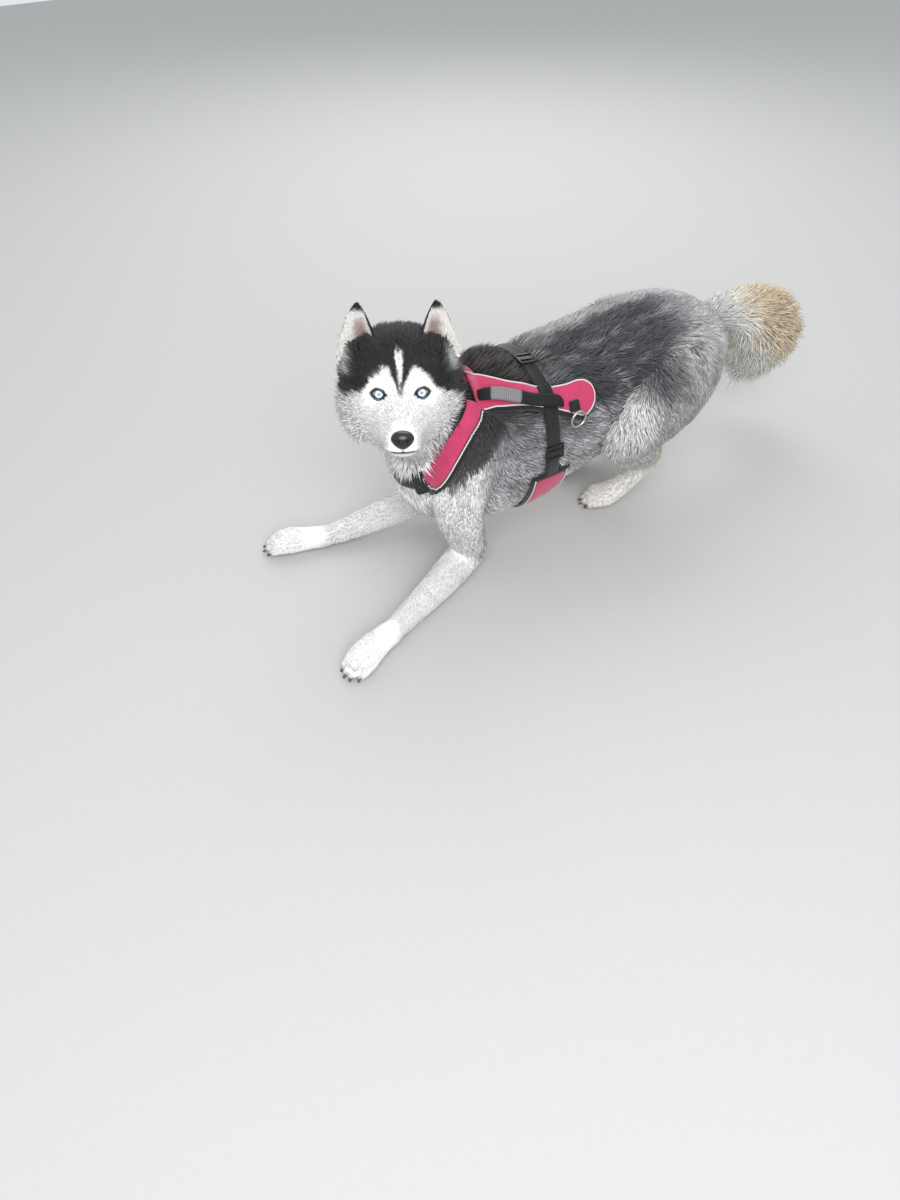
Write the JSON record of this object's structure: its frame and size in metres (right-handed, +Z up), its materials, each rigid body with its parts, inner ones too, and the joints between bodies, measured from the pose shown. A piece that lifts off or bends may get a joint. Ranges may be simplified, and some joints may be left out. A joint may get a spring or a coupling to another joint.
{
  "type": "husky dog figure",
  "caption": "Life-size husky lying in a play bow with its head turned aside, wearing a padded walking harness with a handle and a lead ring.",
  "frame": {"origin": "on the floor under the middle of the bounding box", "axes": "+X from the forepaws to the tail, along the longest side; the dog faces -X; +Y towards the dog's right side; +Z up"},
  "size_m": [1.0638, 0.3691, 0.4642],
  "materials": {
    "coat_body": "dense double coat, mottled grey with a darker saddle",
    "coat_grey": "coat of the shoulders and haunches, silver grey streaked with darker guard hairs",
    "coat_dark": "slate black coat of the neck and the backs of the ears",
    "coat_cream": "long cream and tan brush of the tail",
    "coat_white": "short white coat of the face, forelegs and feet",
    "nose_leather": "moist black pebbled nose",
    "eye": "wet pale blue iris with a small black pupil",
    "harness_padding": "rose pink woven cover over foam, with a pale reflective piping",
    "harness_webbing": "black woven webbing",
    "harness_plastic": "moulded black plastic",
    "ring_steel": "polished steel wire"
  },
  "bodies": {
    "root": {"back_panel": "harness_padding", "belly_pad": "harness_padding", "chest_buckle": "harness_plastic", "chest_strap": "harness_webbing", "cross_strap": "harness_webbing", "ear_left": "coat_dark", "ear_right": "coat_dark", "eye_left": "eye", "eye_right": "eye", "forearm_left": "coat_white", "forearm_right": "coat_white", "forepaw_left": "coat_white", "forepaw_right": "coat_white", "girth_slider_left": "harness_plastic", "girth_slider_right": "harness_plastic", "girth_strap_left": "harness_webbing", "girth_strap_right": "harness_webbing", "handle": "harness_webbing", "head": "coat_white", "hind_foot_left": "coat_white", "hind_foot_right": "coat_white", "lead_ring": "ring_steel", "neck": "coat_dark", "nose": "nose_leather", "ring_tab": "harness_webbing", "shank_left": "coat_grey", "shank_right": "coat_grey", "shoulder_strap_left": "harness_padding", "shoulder_strap_right": "harness_padding", "tail": "coat_cream", "thigh_left": "coat_grey", "thigh_right": "coat_grey", "torso": "coat_body", "upper_arm_left": "coat_grey", "upper_arm_right": "coat_grey"}
  },
  "joints": []
}
